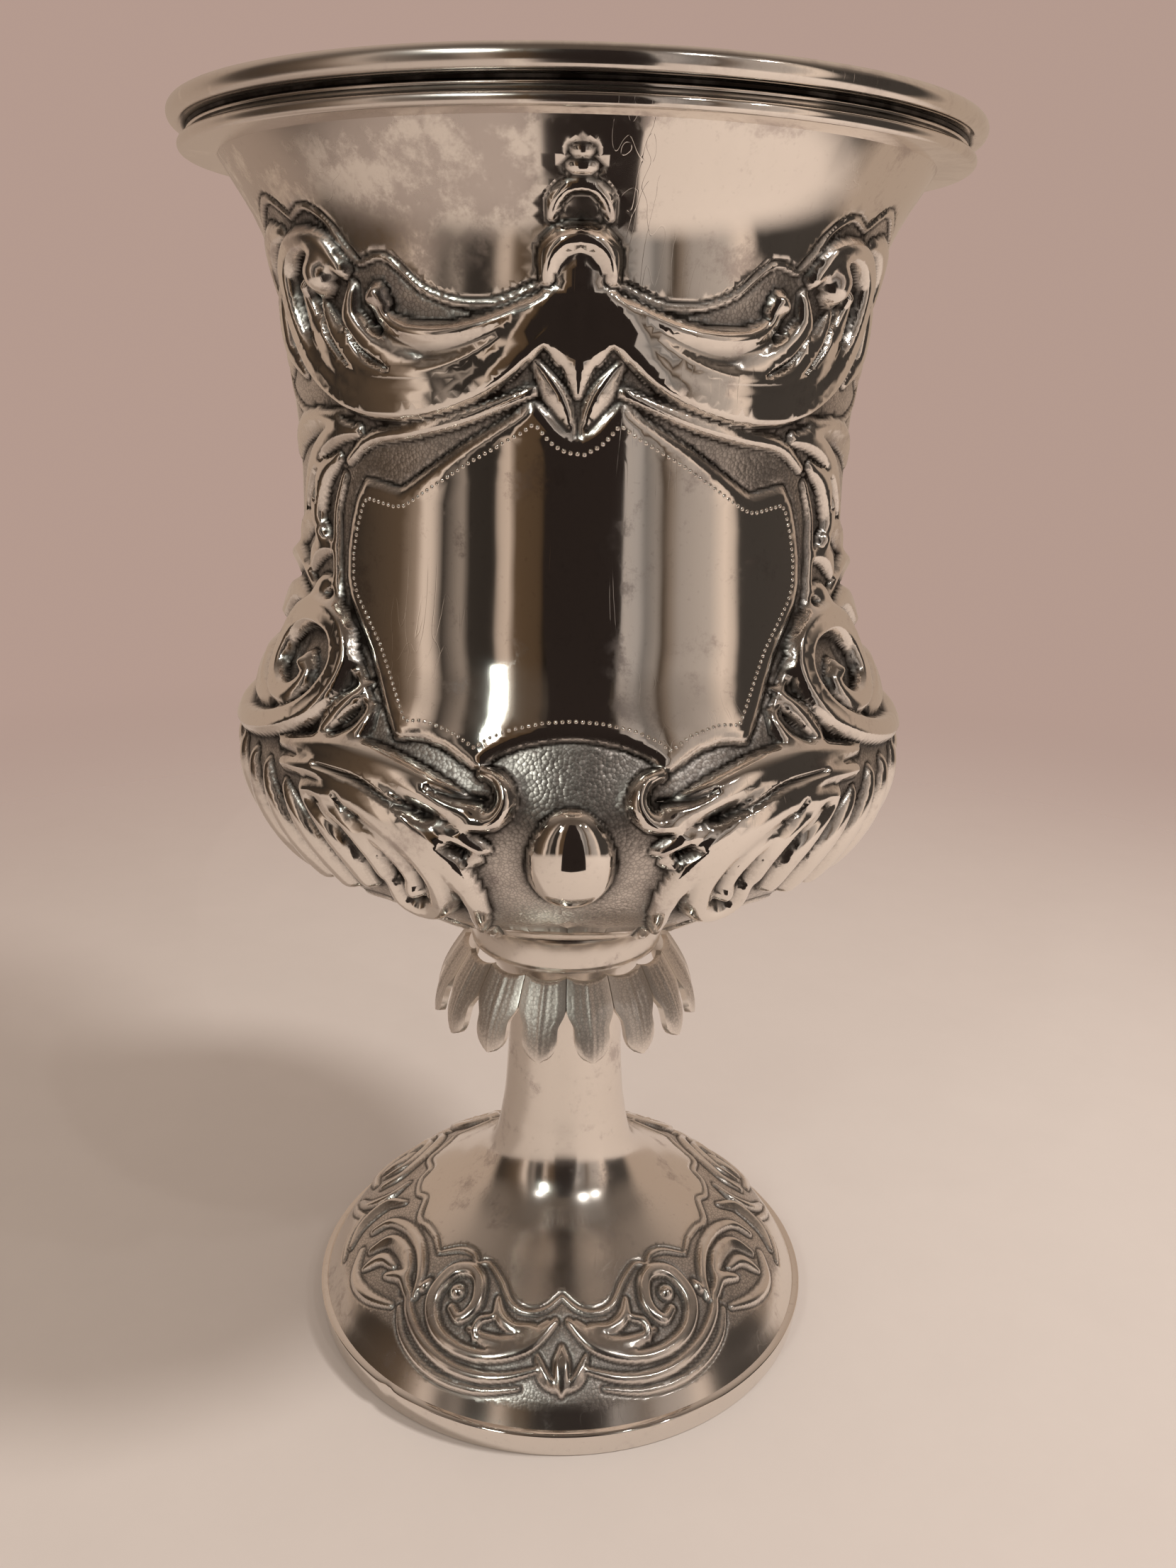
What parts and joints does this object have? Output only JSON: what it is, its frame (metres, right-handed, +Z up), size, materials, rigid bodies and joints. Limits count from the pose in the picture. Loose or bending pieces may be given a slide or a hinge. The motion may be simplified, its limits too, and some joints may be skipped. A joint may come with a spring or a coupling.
{
  "type": "silver goblet",
  "caption": "Chased silver goblet: waisted, round-bellied cup with raised scroll and leaf work around a plain shield, short stem with a leaf collar, domed foot.",
  "frame": {"origin": "middle of the underside of the foot rim", "axes": "+Z up along the goblet's axis, -Y towards the front shield, +X to the right seen from the front"},
  "size_m": [0.0888, 0.0888, 0.1537],
  "materials": {
    "bright_silver": "polished silver, lightly scratched and tarnished",
    "chased_silver": "polished high spots, dark oxidised recesses"
  },
  "bodies": {
    "root": {"rim_moulding": "bright_silver", "bowl": "chased_silver", "collar": "bright_silver", "leaf_calyx": "chased_silver", "stem": "bright_silver", "foot": "chased_silver", "foot_rim": "bright_silver"}
  },
  "joints": []
}
